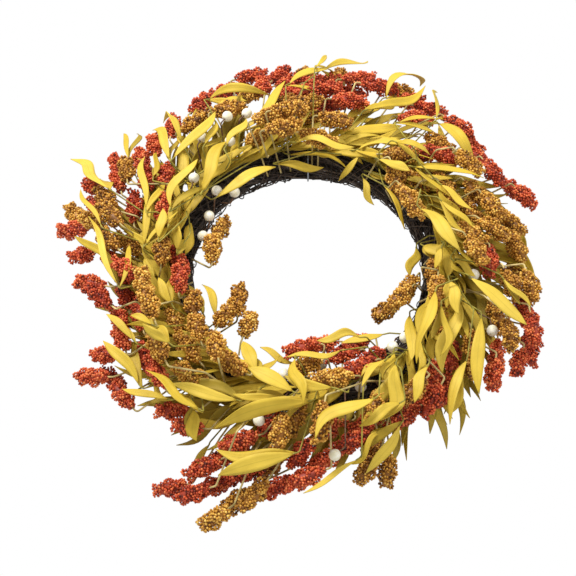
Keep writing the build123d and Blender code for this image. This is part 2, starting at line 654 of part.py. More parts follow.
def write(node, solids):
    """Writes a node's solids as one file."""
    shape = solids[0] if len(solids) == 1 else Compound(children=list(solids))
    export_step(shape, f"parts/{node}.step")


def solid_of(shape):
    """The one solid that a shape holds."""
    return shape.solids()[0]


def write_heads(space, picks, radius, first_push):
    """Lays and writes the sorghum picks, each as its heads and its stalks."""
    for node, entries in picks.items():
        heads, stalks = [], []
        for entry in entries:
            butt, axis, route = lay_head(space, entry, radius, first_push)
            head = spindle(entry[3], radius, SORGHUM_STALK_RADIUS + SOCKET_CLEARANCE, SOCKET_DEPTH)
            heads.append(solid_of(frame_along(butt, axis) * head))
            stalks.append(solid_of(tube(route, SORGHUM_STALK_RADIUS)))
        write(f"{node}_heads", heads)
        write(f"{node}_stalks", stalks)


def write_berries(space):
    """Lays and writes the berry picks, each as its berries and its twigs."""
    for node, entries in BERRY_PICKS.items():
        berries, twigs = [], []
        for entry in entries:
            butt, axis, route = lay_berry(space, entry, BERRY_LAYER)
            fruit = berry(BERRY_RADIUS, BERRY_TWIG_RADIUS + SOCKET_CLEARANCE, BERRY_SOCKET_DEPTH)
            berries.append(solid_of(frame_along(butt, axis) * fruit))
            twigs.append(solid_of(tube(route, BERRY_TWIG_RADIUS)))
        write(f"{node}_berries", berries)
        write(f"{node}_twigs", twigs)


def write_leaves(space):
    """Lays and writes the leaf sprays, each as its leaves and its stem with the petioles."""
    for node, (span, entries) in LEAF_SPRAYS.items():
        leaves = []
        stems = [solid_of(ring_arc(0, STEM_DEPTH, SPRAY_STEM_RADIUS, *span))]
        for index, entry in enumerate(entries):
            roll = (index * LEAF_ROLL_STEP) % LEAF_ROLL_SPREAD - LEAF_ROLL_SPREAD / 2
            place, sizes, route = lay_leaf(space, entry, span, roll, LEAF_LAYER)
            leaves.append(solid_of(place * leaf_blade(*sizes)))
            stems.append(solid_of(tube(route, PETIOLE_RADIUS)))
        write(f"{node}_leaves", leaves)
        write(f"{node}_stems", stems)


def taken_by_base():
    """The room that the spray stems, the binding wire and the hanger eye take."""
    space = Space()
    for span, _ in LEAF_SPRAYS.values():
        clocks = np.arange(span[0], span[1] + STEM_GUARD_TURN, STEM_GUARD_TURN)
        stem = np.array([at(clock, 0, STEM_DEPTH) for clock in clocks])
        space.take(stem, SPRAY_STEM_RADIUS + STEM_GUARD_MARGIN - CLEARANCE)
    wire_radius = BUNDLE_RADIUS + GLUE_GAP + BINDING_WIRE_RADIUS
    for clock in binding_clocks():
        space.take(circle_points(clock, wire_radius), BINDING_WIRE_RADIUS)
    loop_radius = BUNDLE_RADIUS + GLUE_GAP + EYE_WIRE_RADIUS
    space.take(circle_points(0, loop_radius), EYE_WIRE_RADIUS)
    return space


def main():
    os.makedirs("parts", exist_ok=True)
    write("hanging_ring", [hanging_ring()])
    write("hanger_eye", [solid_of(hanger_eye())])
    write("core_hoop", [solid_of(core_hoop())])
    write("core_wrap", [solid_of(core_wrap())])
    for index in range(STRAND_COUNT):
        write(f"twig_strand_{index + 1}", [solid_of(twig_strand(index))])
    write("base_binding_wire", [binding_turn(clock) for clock in binding_clocks()])
    space = taken_by_base()
    write_heads(space, RUST_PICKS, RUST_HEAD_RADIUS, RUST_LAYER)
    write_heads(space, GOLD_PICKS, GOLD_HEAD_RADIUS, GOLD_LAYER)
    write_berries(space)
    write_leaves(space)


main()
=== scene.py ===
import json
import math

import bpy
import numpy as np
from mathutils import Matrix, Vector


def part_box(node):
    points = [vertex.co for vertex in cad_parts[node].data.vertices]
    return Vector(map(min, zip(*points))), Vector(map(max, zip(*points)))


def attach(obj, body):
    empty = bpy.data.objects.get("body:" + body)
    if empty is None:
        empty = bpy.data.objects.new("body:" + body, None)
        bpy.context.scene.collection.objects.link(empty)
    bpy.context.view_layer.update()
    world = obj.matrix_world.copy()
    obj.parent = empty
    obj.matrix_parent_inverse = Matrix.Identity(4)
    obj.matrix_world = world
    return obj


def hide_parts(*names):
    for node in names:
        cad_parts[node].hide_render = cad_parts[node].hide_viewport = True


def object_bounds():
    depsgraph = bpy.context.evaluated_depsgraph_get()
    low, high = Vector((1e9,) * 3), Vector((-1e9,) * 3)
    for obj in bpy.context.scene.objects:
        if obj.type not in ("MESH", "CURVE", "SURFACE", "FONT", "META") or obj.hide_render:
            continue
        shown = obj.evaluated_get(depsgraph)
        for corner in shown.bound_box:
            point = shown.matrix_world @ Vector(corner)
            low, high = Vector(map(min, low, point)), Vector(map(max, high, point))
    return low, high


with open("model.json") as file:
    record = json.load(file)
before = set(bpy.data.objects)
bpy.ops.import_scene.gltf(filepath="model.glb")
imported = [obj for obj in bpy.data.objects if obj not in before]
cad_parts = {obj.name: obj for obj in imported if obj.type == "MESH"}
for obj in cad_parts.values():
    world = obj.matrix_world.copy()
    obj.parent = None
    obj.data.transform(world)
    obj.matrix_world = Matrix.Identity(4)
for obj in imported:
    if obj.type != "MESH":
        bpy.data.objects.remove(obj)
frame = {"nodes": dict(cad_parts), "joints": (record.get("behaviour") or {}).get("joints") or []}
cad_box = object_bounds()


# The studio. The wreath hangs in front of a plain pale room, seen from below its middle, with one
# large soft lamp up at the left, a weaker one at the right, and even light from all round.
wreath_middle = Vector((0, -0.034, -0.203))
view_distance = 1.4
view_from_below = math.radians(28)
floor_height = -1.75
room_brightness = 0.58

camera_data = bpy.data.cameras.new("camera")
camera_data.sensor_width = 36
camera_data.lens = 78.1
camera_data.shift_x = -0.0347
camera_data.shift_y = -0.0252
camera = bpy.data.objects.new("camera", camera_data)
bpy.context.collection.objects.link(camera)
toward_camera = Vector((0, -math.cos(view_from_below), -math.sin(view_from_below)))
camera.location = wreath_middle + view_distance * toward_camera
camera.rotation_euler = (-toward_camera).to_track_quat("-Z", "Y").to_euler()
bpy.context.scene.camera = camera
bpy.context.scene.view_settings.view_transform = "Standard"

world = bpy.data.worlds.new("pale_room")
world.use_nodes = True
room_light = world.node_tree.nodes["Background"]
room_light.inputs["Color"].default_value = (1, 1, 1, 1)
room_light.inputs["Strength"].default_value = room_brightness
white_wall = world.node_tree.nodes.new("ShaderNodeBackground")
white_wall.inputs["Color"].default_value = (1, 1, 1, 1)
seen = world.node_tree.nodes.new("ShaderNodeLightPath")
wall_or_light = world.node_tree.nodes.new("ShaderNodeMixShader")
room_out = world.node_tree.nodes["World Output"]
join = world.node_tree.links.new
join(seen.outputs["Is Camera Ray"], wall_or_light.inputs["Fac"])
join(room_light.outputs["Background"], wall_or_light.inputs[1])
join(white_wall.outputs["Background"], wall_or_light.inputs[2])
join(wall_or_light.outputs["Shader"], room_out.inputs["Surface"])
bpy.context.scene.world = world


def soft_lamp(name, place, size, power):
    """A square lamp of soft light aimed at the middle of the wreath."""
    lamp_data = bpy.data.lights.new(name, "AREA")
    lamp_data.size = size
    lamp_data.energy = power
    lamp = bpy.data.objects.new(name, lamp_data)
    bpy.context.collection.objects.link(lamp)
    lamp.location = place
    lamp.rotation_euler = (wreath_middle - lamp.location).to_track_quat("-Z", "Y").to_euler()


soft_lamp("left_lamp", Vector((-0.8, -1.5, 0.9)), 0.6, 42)
soft_lamp("right_lamp", Vector((1.3, -1.2, 0.1)), 0.9, 10)

bpy.ops.object.select_all(action="DESELECT")
bpy.ops.mesh.primitive_plane_add(size=12, location=(0, 0, floor_height))
floor = bpy.context.object
floor.name = "floor"
floor_material = bpy.data.materials.new("pale_floor")
floor_material.use_nodes = True
floor_shader = floor_material.node_tree.nodes["Principled BSDF"]
floor_shader.inputs["Base Color"].default_value = (0.85, 0.85, 0.85, 1)
floor_shader.inputs["Roughness"].default_value = 0.9
floor.data.materials.append(floor_material)


# The hanging ring is a bought ring of round galvanised steel wire, closed by welding. It hangs on
# the door's hook and passes through the eye, so the wreath can swing on it.
def colour(red, green, blue):
    """A paint-card colour, 0 to 255, as the shader's own values."""
    shares = [v / 255 for v in (red, green, blue)]
    return [s / 12.92 if s <= 0.04045 else ((s + 0.055) / 1.055) ** 2.4 for s in shares] + [1]


def add_socket(group, name, way, kind, value=None):
    socket = group.interface.new_socket(name=name, in_out=way, socket_type=kind)
    if value is not None:
        socket.default_value = value


# Uneven colour that runs through dyed, dried and plated stuff alike, with its own fine roughness.
mottle = bpy.data.node_groups.new("mottle", "ShaderNodeTree")
add_socket(mottle, "Dark", "INPUT", "NodeSocketColor")
add_socket(mottle, "Light", "INPUT", "NodeSocketColor")
add_socket(mottle, "Scale", "INPUT", "NodeSocketFloat", 200)
add_socket(mottle, "Fine Scale", "INPUT", "NodeSocketFloat", 1500)
add_socket(mottle, "Color", "OUTPUT", "NodeSocketColor")
add_socket(mottle, "Patch", "OUTPUT", "NodeSocketFloat")
add_socket(mottle, "Height", "OUTPUT", "NodeSocketFloat")
mottle_in = mottle.nodes.new("NodeGroupInput")
mottle_out = mottle.nodes.new("NodeGroupOutput")
mottle_place = mottle.nodes.new("ShaderNodeTexCoord")
mottle_patch = mottle.nodes.new("ShaderNodeTexNoise")
mottle_patch.inputs["Detail"].default_value = 3
mottle_fine = mottle.nodes.new("ShaderNodeTexNoise")
mottle_fine.inputs["Detail"].default_value = 4
mottle_range = mottle.nodes.new("ShaderNodeMapRange")
mottle_range.inputs["From Min"].default_value = 0.32
mottle_range.inputs["From Max"].default_value = 0.68
mottle_mix = mottle.nodes.new("ShaderNodeMix")
mottle_mix.data_type = "RGBA"
join = mottle.links.new
join(mottle_place.outputs["Object"], mottle_patch.inputs["Vector"])
join(mottle_place.outputs["Object"], mottle_fine.inputs["Vector"])
join(mottle_in.outputs["Scale"], mottle_patch.inputs["Scale"])
join(mottle_in.outputs["Fine Scale"], mottle_fine.inputs["Scale"])
join(mottle_patch.outputs["Fac"], mottle_range.inputs["Value"])
join(mottle_range.outputs["Result"], mottle_mix.inputs["Factor"])
join(mottle_in.outputs["Dark"], mottle_mix.inputs["A"])
join(mottle_in.outputs["Light"], mottle_mix.inputs["B"])
join(mottle_mix.outputs["Result"], mottle_out.inputs["Color"])
join(mottle_range.outputs["Result"], mottle_out.inputs["Patch"])
join(mottle_fine.outputs["Fac"], mottle_out.inputs["Height"])


def mottled_material(name, dark, light, scale, fine_scale, roughness, metallic, bump):
    """A finish whose colour wanders between two shades, with fine unevenness you can feel."""
    material = bpy.data.materials.new(name)
    material.use_nodes = True
    nodes = material.node_tree.nodes
    links = material.node_tree.links
    shader = nodes["Principled BSDF"]
    shader.inputs["Roughness"].default_value = roughness
    shader.inputs["Metallic"].default_value = metallic
    group = nodes.new("ShaderNodeGroup")
    group.node_tree = mottle
    group.inputs["Dark"].default_value = dark
    group.inputs["Light"].default_value = light
    group.inputs["Scale"].default_value = scale
    group.inputs["Fine Scale"].default_value = fine_scale
    relief = nodes.new("ShaderNodeBump")
    relief.inputs["Strength"].default_value = bump
    relief.inputs["Distance"].default_value = 0.0004
    links.new(group.outputs["Color"], shader.inputs["Base Color"])
    links.new(group.outputs["Height"], relief.inputs["Height"])
    links.new(relief.outputs["Normal"], shader.inputs["Normal"])
    return material


def finish_node(name, material):
    """Gives a CAD part its real finish."""
    for place in frame["nodes"][name].material_slots:
        place.material = material


galvanised_steel = mottled_material(
    "galvanised_steel", colour(120, 122, 126), colour(178, 180, 184), 350, 2500, 0.34, 1.0, 0.25)
finish_node("hanging_ring", galvanised_steel)


# The hanger eye is steel wire folded round the hanging ring into a sleeve, twisted into a leg, and
# closed in a loop round the base under the foliage.
finish_node("hanger_eye", galvanised_steel)


# The hoop inside the base is plain steel rod, welded into a circle, and fine vine shoots are wound
# on it so that the twig bundles have something to grip.
hoop_steel = mottled_material(
    "hoop_steel", colour(70, 66, 62), colour(112, 106, 100), 160, 1800, 0.5, 1.0, 0.3)
vine = mottled_material(
    "dark_vine", colour(34, 27, 23), colour(88, 72, 60), 260, 1600, 0.75, 0.0, 0.6)
finish_node("core_hoop", hoop_steel)
finish_node("core_wrap", vine)


# The base is six bundles of thin dark vine twigs laid round the core, twisted together as they go,
# with loose twigs wound over them. Each twig is a dried shoot, wavy and a little rough.
twigs_in_bundle = 15
loose_twigs_in_bundle = 2
twig_sides = 5
twig_steps = 150
pattern_radius = 10
thinnest_twig = 0.0006
thickest_twig = 0.0013
bundle_turns = 2

base_low, base_high = (np.array(c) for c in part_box("core_hoop"))
base_centre = (base_low + base_high) / 2
hoop_wire_radius = (base_high[1] - base_low[1]) / 2
base_radius = (base_high[0] - base_low[0]) / 2 - hoop_wire_radius
wrap_low, wrap_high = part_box("core_wrap")
bundle_radius = (wrap_high[1] - wrap_low[1]) / 2
strand_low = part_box("twig_strand_2")[0]
bundle_offset = base_centre[1] - strand_low[1] - bundle_radius

bpy.ops.object.select_all(action="DESELECT")
bpy.ops.mesh.primitive_circle_add(vertices=twig_sides, radius=1, location=(pattern_radius, 0, 0),
                                  rotation=(math.pi / 2, 0, 0))
twig_pattern = bpy.context.object
bpy.ops.object.transform_apply(location=True, rotation=True)
bpy.ops.object.mode_set(mode="EDIT")
bpy.ops.mesh.select_all(action="SELECT")
bpy.ops.mesh.spin(steps=twig_steps, angle=2 * math.pi, center=(0, 0, 0), axis=(0, 0, 1))
bpy.ops.mesh.select_all(action="SELECT")
bpy.ops.mesh.remove_doubles(threshold=0.001)
bpy.ops.mesh.normals_make_consistent(inside=False)
bpy.ops.object.mode_set(mode="OBJECT")


def mesh_points(mesh):
    points = np.empty(len(mesh.vertices) * 3, dtype=np.float32)
    mesh.vertices.foreach_get("co", points)
    return points.reshape(-1, 3).astype(float)


pattern_points = mesh_points(twig_pattern.data)
pattern_faces = np.array([list(p.vertices) for p in twig_pattern.data.polygons])
pattern_turn = np.arctan2(pattern_points[:, 1], pattern_points[:, 0])
pattern_reach = np.hypot(pattern_points[:, 0], pattern_points[:, 1]) - pattern_radius
pattern_across = np.stack([pattern_reach, pattern_points[:, 2]], axis=1)
bpy.data.objects.remove(twig_pattern)


def smooth_wander(rng, turn, waves, size):
    """A closed wandering value round the ring, made of a few waves of its own."""
    value = np.zeros_like(turn)
    for wave in range(2, waves):
        value += rng.normal() * np.sin(wave * turn + rng.uniform(0, 2 * math.pi)) / wave ** 0.6
    return size * value


def piece_of(name, points, faces, material, values=None, uv=None, body="wreath"):
    """One finished piece from its points and faces, with values that its finish reads."""
    mesh = bpy.data.meshes.new(name)
    mesh.from_pydata(points.tolist(), [], faces.tolist())
    for key, numbers in (values or {}).items():
        mesh.attributes.new(key, "FLOAT", "POINT").data.foreach_set(
            "value", np.asarray(numbers, dtype=np.float32))
    if uv is not None:
        corners = np.empty(len(mesh.loops), dtype=np.int32)
        mesh.loops.foreach_get("vertex_index", corners)
        layer = mesh.uv_layers.new(name="along")
        layer.data.foreach_set("uv", uv[corners].astype(np.float32).ravel())
    mesh.materials.append(material)
    mesh.polygons.foreach_set("use_smooth", np.ones(len(mesh.polygons), dtype=bool))
    mesh.update()
    piece = bpy.data.objects.new(name, mesh)
    bpy.context.collection.objects.link(piece)
    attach(piece, body)
    return piece


def shaded_material(name, shades, scale, roughness, bump):
    """A finish that takes its shade from each twig's or grain's own value and each heart's painted
    shade.
    """
    material = mottled_material(name, shades[0], shades[-1], scale, 6 * scale, roughness, 0, bump)
    nodes = material.node_tree.nodes
    links = material.node_tree.links
    shader = nodes["Principled BSDF"]
    own = nodes.new("ShaderNodeAttribute")
    own.attribute_name = "shade"
    group = next(n for n in nodes if n.type == "GROUP")
    added = nodes.new("ShaderNodeMath")
    added.operation = "MULTIPLY_ADD"
    added.inputs[1].default_value = 0.3
    ramp = nodes.new("ShaderNodeValToRGB")
    points = ramp.color_ramp.elements
    while len(points) < len(shades):
        points.new(0.5)
    for k, shade in enumerate(shades):
        points[k].position = k / (len(shades) - 1)
        points[k].color = shade
    lowered = nodes.new("ShaderNodeMath")
    lowered.operation = "SUBTRACT"
    lowered.inputs[1].default_value = 0.15
    links.new(group.outputs["Patch"], added.inputs[0])
    links.new(own.outputs["Fac"], lowered.inputs[0])
    links.new(lowered.outputs["Value"], added.inputs[2])
    links.new(added.outputs["Value"], ramp.inputs["Fac"])
    links.new(ramp.outputs["Color"], shader.inputs["Base Color"])
    return material


twig_material = shaded_material(
    "vine_twig", [colour(30, 24, 21), colour(72, 59, 50), colour(136, 118, 100)], 260, 0.7, 0.6)
rng = np.random.default_rng(7)
for bundle in range(6):
    first_turn = math.radians(30 + 60 * bundle)
    points, faces, shades = [], [], []
    for twig in range(twigs_in_bundle + loose_twigs_in_bundle):
        loose = twig >= twigs_in_bundle
        thick = rng.uniform(thinnest_twig, thickest_twig) * (0.8 if loose else 1)
        away_turn = first_turn + bundle_turns * pattern_turn
        away_radial = bundle_offset * np.cos(away_turn)
        away_forward = bundle_offset * np.sin(away_turn)
        room = bundle_radius - thick
        spot = rng.uniform(0, 2 * math.pi)
        spot_away = room * math.sqrt(rng.uniform(0.15, 1))
        own_turn = spot + rng.choice([-3, -2, 3, 4]) * pattern_turn
        own_turn = own_turn + smooth_wander(rng, pattern_turn, 9, 0.25)
        if loose:
            wound = spot + rng.choice([-9, 9, 11]) * pattern_turn
            wound = wound + smooth_wander(rng, pattern_turn, 7, 0.2)
            over = bundle_offset + room + smooth_wander(rng, pattern_turn, 12, 0.0002)
            radial = over * np.cos(wound)
            forward = over * np.sin(wound)
        else:
            spot_away = spot_away + smooth_wander(rng, pattern_turn, 30, 0.00025)
            radial = away_radial + spot_away * np.cos(own_turn)
            forward = away_forward + spot_away * np.sin(own_turn)
        knots = 1 + smooth_wander(rng, pattern_turn, 50, 0.05)
        radial = base_radius + radial + thick * knots * pattern_across[:, 0]
        forward = forward + thick * knots * pattern_across[:, 1]
        points.append(np.stack([
            base_centre[0] + radial * np.sin(pattern_turn),
            base_centre[1] - forward,
            base_centre[2] + radial * np.cos(pattern_turn)], axis=1))
        faces.append(pattern_faces + twig * len(pattern_points))
        shades.append(np.full(len(pattern_points), rng.beta(1.6, 2.4)))
    piece = piece_of(f"twig_bundle_{bundle + 1}", np.vstack(points), np.vstack(faces),
                     twig_material, {"shade": np.concatenate(shades)})
    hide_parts(f"twig_strand_{bundle + 1}")


# The binding wire is thin annealed wire, dark from the heat, turned round the base at even
# distances and twisted off at the back.
annealed_wire = mottled_material(
    "annealed_wire", colour(38, 33, 30), colour(74, 66, 58), 400, 2200, 0.55, 0.6, 0.3)
finish_node("base_binding_wire", annealed_wire)


# The sorghum stalks are dried stems, bleached to straw. Each is cut short, bent to its place and
# glued at the base, with its head on the other end.
straw = mottled_material(
    "straw_stalk", colour(128, 110, 50), colour(226, 204, 136), 60, 1400, 0.6, 0.0, 0.4)
for pick in range(1, 7):
    finish_node(f"rust_sorghum_{pick}_stalks", straw)
    finish_node(f"gold_sorghum_{pick}_stalks", straw)


# A sorghum head is a plume of short side branches crowded with small hard grains. Six picks are
# dyed rust and six are left gold, and each head sits on its own stalk.
grain_gap = 0.0023
grain_radius = 0.00142
grain_length_share = 1.15
branches_in_head = 12
spots_on_branch = 240
widest_of_head = 0.45
branch_length_share = 0.145
core_width_share = 0.42
heart_width_share = 0.6
heart_length_share = 0.47
# Each head's heart is darker than its grains: painted shade in the gaps between the grains.
heart_painted_shade = 0.26
golden_turn = math.radians(137.5)

bpy.ops.object.select_all(action="DESELECT")
bpy.ops.mesh.primitive_uv_sphere_add(segments=6, ring_count=2, radius=1)
grain_pattern = bpy.context.object
bpy.ops.object.mode_set(mode="EDIT")
bpy.ops.mesh.quads_convert_to_tris()
bpy.ops.object.mode_set(mode="OBJECT")
grain_points = mesh_points(grain_pattern.data) * [1, 1, grain_length_share]
grain_faces = np.array([list(p.vertices) for p in grain_pattern.data.polygons])
bpy.data.objects.remove(grain_pattern)

bpy.ops.mesh.primitive_uv_sphere_add(segments=8, ring_count=6, radius=1)
heart_pattern = bpy.context.object
bpy.ops.object.mode_set(mode="EDIT")
bpy.ops.mesh.quads_convert_to_tris()
bpy.ops.object.mode_set(mode="OBJECT")
heart_points = mesh_points(heart_pattern.data)
heart_faces = np.array([list(p.vertices) for p in heart_pattern.data.polygons])
bpy.data.objects.remove(heart_pattern)


def solids_of(node):
    """The points and faces of each separate solid of a CAD part."""
    mesh = frame["nodes"][node].data
    corners = np.empty(len(mesh.loops), dtype=np.int32)
    mesh.loops.foreach_get("vertex_index", corners)
    merged_points, merged = np.unique(
        np.round(mesh_points(mesh), 7), axis=0, return_inverse=True)
    faces = merged.ravel()[corners].reshape(-1, 3)
    label = np.arange(len(merged_points))
    while True:
        lowest = label[faces].min(axis=1)
        spread = label.copy()
        np.minimum.at(spread, faces.ravel(), np.repeat(lowest, 3))
        spread = spread[spread]
        if (spread == label).all():
            break
        label = spread
    found = []
    for name in np.unique(label):
        own = np.nonzero(label == name)[0]
        numbers = np.full(len(label), -1)
        numbers[own] = np.arange(len(own))
        found.append((merged_points[own], numbers[faces[label[faces[:, 0]] == name]]))
    return found


def unit(vector):
    return vector / np.linalg.norm(vector, axis=-1, keepdims=True)


def head_place(points, faces):
    """A head's butt, the way it points, its length and its radius, read from its CAD solid."""
    corners = points[faces]
    normals = np.cross(corners[:, 1] - corners[:, 0], corners[:, 2] - corners[:, 0])
    areas = np.linalg.norm(normals, axis=1)
    centres = corners.mean(axis=1)
    middle = (centres * areas[:, None]).sum(axis=0) / areas.sum()
    spread, axes = np.linalg.eigh((centres - middle).T @ ((centres - middle) * areas[:, None]))
    axis = axes[:, 2] if spread[2] - spread[1] > spread[1] - spread[0] else axes[:, 0]
    heights = (points - middle) @ axis
    aside = np.linalg.norm(points - middle - heights[:, None] * axis, axis=1)
    if heights[aside < 0.0014].mean() > 0:
        axis, heights = -axis, -heights
    return middle + axis * heights.min(), axis, np.ptp(heights), aside.max()


def turned_to(direction, rng_turn):
    """Frames whose third axis points along each direction, turned about it by rng_turn."""
    helper = np.where(np.abs(direction[:, [2]]) < 0.9, [[0, 0, 1.0]], [[1.0, 0, 0]])
    first = unit(np.cross(helper, direction))
    second = np.cross(direction, first)
    cos, sin = np.cos(rng_turn)[:, None], np.sin(rng_turn)[:, None]
    return np.stack([cos * first + sin * second, cos * second - sin * first, direction], axis=1)


def grains_of_head(rng, length, radius):
    """Where a head's grains sit and point, with the head standing on its butt along +Z."""
    share = np.linspace(0.1, 0.9, branches_in_head) + rng.uniform(-0.03, 0.03, branches_in_head)
    turn = golden_turn * np.arange(branches_in_head) + rng.uniform(-0.35, 0.35, branches_in_head)
    to_butt = (widest_of_head - share) / widest_of_head
    to_tip = (share - widest_of_head) / (1 - widest_of_head)
    far = np.where(to_butt > 0, 1 - 0.62 * to_butt**2, 1 - 0.6 * to_tip**2) * radius
    outward = np.stack([np.cos(turn), np.sin(turn), 0 * turn], axis=1)
    middles = outward * (0.5 * far)[:, None] + [[0, 0, 1]] * (share * length)[:, None]
    leaning = unit(0.55 * outward + [[0, 0, 0.85]])
    frames = turned_to(leaning, 0 * turn)
    cross = 0.5 * far * rng.uniform(0.86, 1.08, branches_in_head)
    long = branch_length_share * length * rng.uniform(0.85, 1.15, branches_in_head)
    middles = np.vstack([middles, [[0, 0, 0.5 * length]]])
    frames = np.concatenate([frames, np.eye(3)[None]])
    core_width = core_width_share * radius
    sizes = np.vstack([np.stack([cross, cross, long], axis=1),
                       [[core_width, core_width, heart_length_share * length]]])
    rows = np.arange(spots_on_branch) + 0.5
    tall = 1 - 2 * rows / spots_on_branch
    spin = math.pi * (1 + math.sqrt(5)) * rows
    round_it = np.sqrt(1 - tall**2)
    ball = np.stack([round_it * np.cos(spin), round_it * np.sin(spin), tall], axis=1)
    spots, ways = [], []
    for middle, axes, size in zip(middles, frames, sizes):
        spots.append(middle + (ball * size) @ axes)
        ways.append(unit((ball / size) @ axes))
    spots, ways = np.vstack(spots), np.vstack(ways)
    kept = np.ones(len(spots), dtype=bool)
    for k, (middle, axes, size) in enumerate(zip(middles, frames, sizes)):
        inside = np.linalg.norm(((spots - middle) @ axes.T) / size, axis=1) < 0.93
        inside[k * spots_on_branch:(k + 1) * spots_on_branch] = False
        kept &= ~inside
    kept &= (spots[:, 2] > 0) & (spots[:, 2] < length)
    spots, ways = spots[kept], ways[kept]
    order = rng.permutation(len(spots))
    spots, ways = spots[order], ways[order]
    near = np.linalg.norm(spots[:, None] - spots[None], axis=2) < grain_gap
    open_spot = np.ones(len(spots), dtype=bool)
    chosen = []
    for k in range(len(spots)):
        if open_spot[k]:
            chosen.append(k)
            open_spot[near[k]] = False
    return spots[chosen], ways[chosen]


rust_seed = shaded_material("rust_seed", [
    colour(56, 9, 3), colour(170, 54, 20), colour(214, 88, 40), colour(240, 138, 78)],
    120, 0.55, 0.3)
gold_seed = shaded_material("gold_seed", [
    colour(70, 36, 8), colour(164, 106, 26), colour(212, 154, 48), colour(244, 200, 96)],
    120, 0.55, 0.3)
rng = np.random.default_rng(21)
for kind, seed_material in (("rust", rust_seed), ("gold", gold_seed)):
    for pick in range(1, 7):
        points, faces, shades = [], [], []
        used = 0
        for solid_points, solid_faces in solids_of(f"{kind}_sorghum_{pick}_heads"):
            butt, axis, length, radius = head_place(solid_points, solid_faces)
            spots, ways = grains_of_head(rng, length, radius - 0.6 * grain_radius)
            stand = turned_to(axis[None], rng.uniform(0, 6.3, 1))[0]
            frames = turned_to(unit(ways + rng.normal(0, 0.35, ways.shape)),
                               rng.uniform(0, 6.3, len(spots)))
            size = grain_radius * rng.uniform(0.8, 1.2, len(spots))
            grains = spots[:, None] + size[:, None, None] * np.einsum(
                "pk,nkj->npj", grain_points, frames)
            head_shade = rng.uniform(-0.12, 0.12)
            own = np.clip(rng.beta(2.6, 2.0, len(spots)) + head_shade, 0, 1)
            heart = heart_points * [heart_width_share * radius, heart_width_share * radius,
                                    heart_length_share * length]
            heart = heart + [0, 0, 0.5 * length]
            all_points = np.vstack([grains.reshape(-1, 3), heart]) @ stand + butt
            grain_starts = used + np.arange(len(spots)) * len(grain_points)
            faces.append((grain_faces[None] + grain_starts[:, None, None]).reshape(-1, 3))
            faces.append(heart_faces + used + len(spots) * len(grain_points))
            points.append(all_points)
            # The heart's darker value is painted shade between the grains.
            shades.append(np.concatenate([
                np.repeat(own, len(grain_points)), np.full(len(heart_points), heart_painted_shade)]))
            used += len(all_points)
        piece = piece_of(f"{kind}_sorghum_{pick}_grains", np.vstack(points), np.vstack(faces),
                         seed_material, {"shade": np.concatenate(shades)})
        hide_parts(f"{kind}_sorghum_{pick}_heads")


# The berry picks are thin wires wrapped in brown paper, bent by hand, which hold the berries.
berry_twig = mottled_material(
    "berry_twig", colour(66, 42, 28), colour(128, 92, 62), 300, 1500, 0.7, 0.0, 0.5)
for pick in range(1, 4):
    finish_node(f"berry_pick_{pick}_twigs", berry_twig)


# A berry is a ball of painted foam, off-white and a little uneven, dimpled where its twig goes in.
# Each is glued on the end of its twig.
dimple_depth = 0.16
dimple_radius = 0.25
lump_height = 0.02
berry_material = mottled_material(
    "berry_paint", colour(236, 228, 190), colour(255, 253, 240), 160, 900, 0.5, 0.0, 0.25)
bpy.ops.object.select_all(action="DESELECT")
bpy.ops.mesh.primitive_uv_sphere_add(segments=28, ring_count=18, radius=1)
berry_pattern = bpy.context.object
pole = [v for v in berry_pattern.data.vertices if v.co.z < -0.97]
for vertex in pole:
    vertex.co.z += dimple_depth * (1 - (vertex.co.xy.length / dimple_radius) ** 2)
bpy.ops.object.mode_set(mode="EDIT")
bpy.ops.mesh.select_all(action="SELECT")
bpy.ops.mesh.quads_convert_to_tris()
bpy.ops.object.mode_set(mode="OBJECT")
berry_points = mesh_points(berry_pattern.data)
berry_faces = np.array([list(p.vertices) for p in berry_pattern.data.polygons])
bpy.data.objects.remove(berry_pattern)
rng = np.random.default_rng(5)
for pick in range(1, 4):
    points, faces = [], []
    for solid_points, _ in solids_of(f"berry_pick_{pick}_berries"):
        middle = (solid_points.min(axis=0) + solid_points.max(axis=0)) / 2
        radius = np.ptp(solid_points, axis=0).max() / 2
        socket = solid_points[np.linalg.norm(solid_points - middle, axis=1) < 0.9 * radius]
        stand = turned_to(unit(middle - socket.mean(axis=0))[None], rng.uniform(0, 6.3, 1))[0]
        lumps = 1 + lump_height * np.sin(
            3 * berry_points @ rng.normal(size=3) + rng.uniform(0, 6.3))
        faces.append(berry_faces + len(points) * len(berry_points))
        points.append(middle + radius * 0.98 * lumps[:, None] * (berry_points @ stand))
    piece = piece_of(f"berry_pick_{pick}_balls", np.vstack(points), np.vstack(faces),
                     berry_material)
    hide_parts(f"berry_pick_{pick}_berries")


# The leaf stems are wires wrapped in green-yellow tape: one along the base for each spray, and a
# short one to each leaf.
stem_tape = mottled_material(
    "stem_tape", colour(108, 100, 28), colour(172, 158, 54), 150, 1200, 0.6, 0.0, 0.4)
for spray in range(1, 9):
    finish_node(f"leaf_spray_{spray}_stems", stem_tape)


